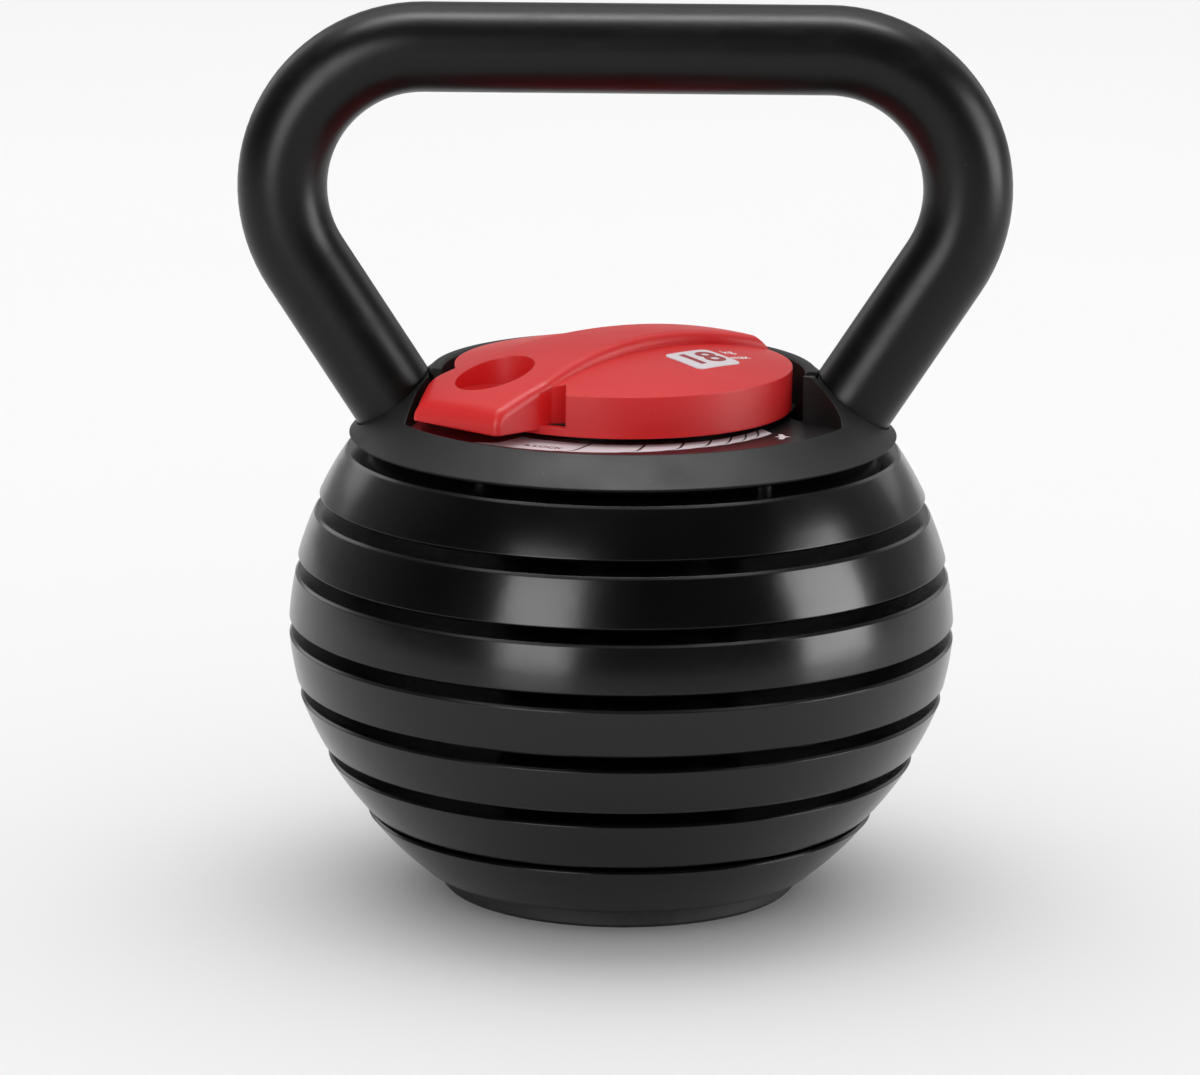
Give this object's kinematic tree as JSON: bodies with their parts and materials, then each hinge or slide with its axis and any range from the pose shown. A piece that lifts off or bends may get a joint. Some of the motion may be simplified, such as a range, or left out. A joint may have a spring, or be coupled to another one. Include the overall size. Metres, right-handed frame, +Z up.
{
  "type": "adjustable kettlebell",
  "caption": "Adjustable kettlebell: round stack of slotted iron plates on a post, wide tube handle, black cover and a turning red lock lever.",
  "frame": {"origin": "centre of the foot ring's underside, on the floor, below the centre post", "axes": "+Z up along the centre post; X along the grip bar; -Y towards the lock dial's printed scale"},
  "size_m": [0.2416, 0.2089, 0.281],
  "materials": {
    "tube": "satin black enamel",
    "iron": "gloss black enamel on cast iron",
    "cover": "fine matt moulded",
    "red": "semi-matt moulded",
    "badge": "printed",
    "label": "printed film",
    "steel": "zinc plated",
    "alloy": "die cast",
    "bronze": "machined",
    "rubber": "matt"
  },
  "bodies": {
    "frame": {"handle_tube": "tube", "deck_plate": "tube", "center_post": "steel", "spindle_bush": "bronze", "post_washer": "steel", "post_bolt": "steel", "base_weight": "iron", "foot_ring": "rubber", "foot_screws": "steel", "top_cover": "cover", "cover_screws": "steel", "dial_label": "label", "spindle_housing": "alloy", "housing_screws": "steel", "thrust_washer": "bronze"},
    "knob": {"lock_knob": "red", "knob_badge": "badge", "drive_plate": "steel", "drive_screws": "steel", "lock_spindle": "steel"},
    "clamp": {"clamp_nut": "bronze", "clamp_pins": "steel", "clamp_ring": "steel", "clamp_pad": "rubber"},
    "plate_1": {"plate_1": "iron"},
    "plate_2": {"plate_2": "iron"},
    "plate_3": {"plate_3": "iron"},
    "plate_4": {"plate_4": "iron"},
    "plate_5": {"plate_5": "iron"},
    "plate_6": {"plate_6": "iron"}
  },
  "joints": [
    {"name": "lock_turn", "type": "hinge", "parent": "frame", "child": "knob", "pos_m": [0, 0, 0.16], "axis": [0, 0, 1], "range_deg": [0, 94]},
    {"name": "clamp_lift", "type": "slide", "parent": "frame", "child": "clamp", "axis": [0, 0, 1], "range_m": [0, 0.003]},
    {"name": "plate_1_slide", "type": "slide", "parent": "frame", "child": "plate_1", "axis": [0, -1, 0], "range_m": [0, 0.22]},
    {"name": "plate_2_slide", "type": "slide", "parent": "frame", "child": "plate_2", "axis": [0, -1, 0], "range_m": [0, 0.22]},
    {"name": "plate_3_slide", "type": "slide", "parent": "frame", "child": "plate_3", "axis": [0, -1, 0], "range_m": [0, 0.22]},
    {"name": "plate_4_slide", "type": "slide", "parent": "frame", "child": "plate_4", "axis": [0, -1, 0], "range_m": [0, 0.22]},
    {"name": "plate_5_slide", "type": "slide", "parent": "frame", "child": "plate_5", "axis": [0, -1, 0], "range_m": [0, 0.22]},
    {"name": "plate_6_slide", "type": "slide", "parent": "frame", "child": "plate_6", "axis": [0, -1, 0], "range_m": [0, 0.22]}
  ],
  "couplings": [
    {"joint": "clamp_lift", "follows": "lock_turn", "m_per_rad": 0.0018276}
  ]
}
